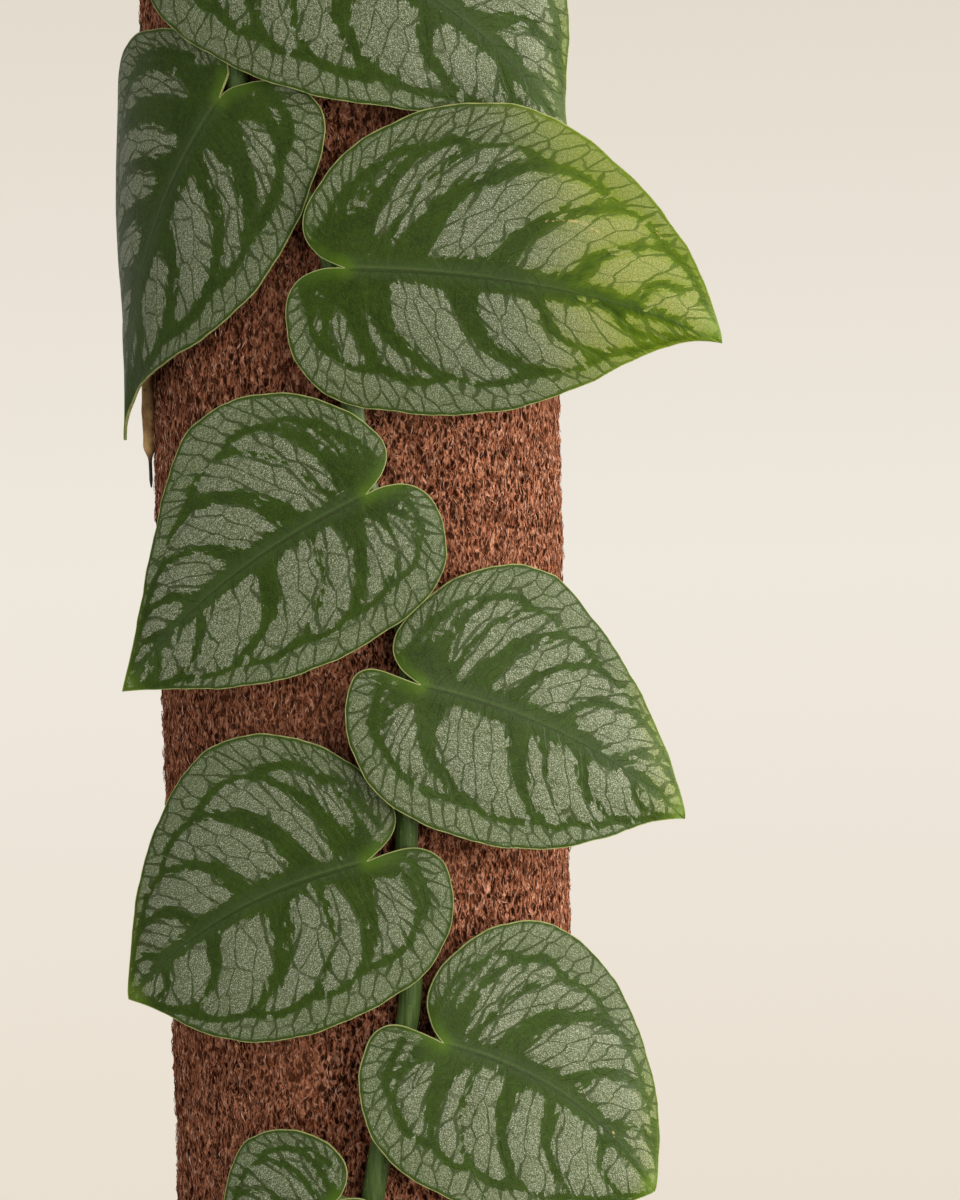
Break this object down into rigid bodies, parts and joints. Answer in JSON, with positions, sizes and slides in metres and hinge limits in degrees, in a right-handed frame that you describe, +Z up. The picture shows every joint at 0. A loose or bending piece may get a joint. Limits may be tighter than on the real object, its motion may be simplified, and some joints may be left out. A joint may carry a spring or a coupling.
{
  "type": "potted monstera dubia on a fibre pole",
  "caption": "Climbing house plant with silver-marked heart-shaped leaves lying flat along a round fibre pole, standing in a plain clay pot filled with potting mix.",
  "frame": {"origin": "centre of the pot's underside, on the axis of the pot and the pole", "axes": "+Z up along the pole; the stem and the leaves' faces are at the front, towards -Y; +X is to the right seen from the front"},
  "size_m": [0.15, 0.15, 0.547],
  "materials": {
    "clay": "matte",
    "soil": "matte",
    "pole_fibre": "matte",
    "stake_wood": "matte",
    "stem": "satin",
    "leaf": "satin",
    "new_leaf": "satin"
  },
  "bodies": {
    "root": {"pot": "clay", "soil": "soil", "pole_sleeve": "pole_fibre", "pole_core": "stake_wood", "stem": "stem", "leaf_01": "leaf", "leaf_02": "leaf", "leaf_03": "leaf", "leaf_04": "leaf", "leaf_05": "leaf", "leaf_06": "leaf", "leaf_07": "leaf", "leaf_08": "leaf", "leaf_09": "leaf", "leaf_10": "leaf", "leaf_11": "leaf", "leaf_12": "leaf", "leaf_13": "leaf", "leaf_14": "leaf", "leaf_15": "leaf", "leaf_16": "leaf", "leaf_17": "leaf", "new_leaf": "new_leaf"}
  },
  "joints": []
}
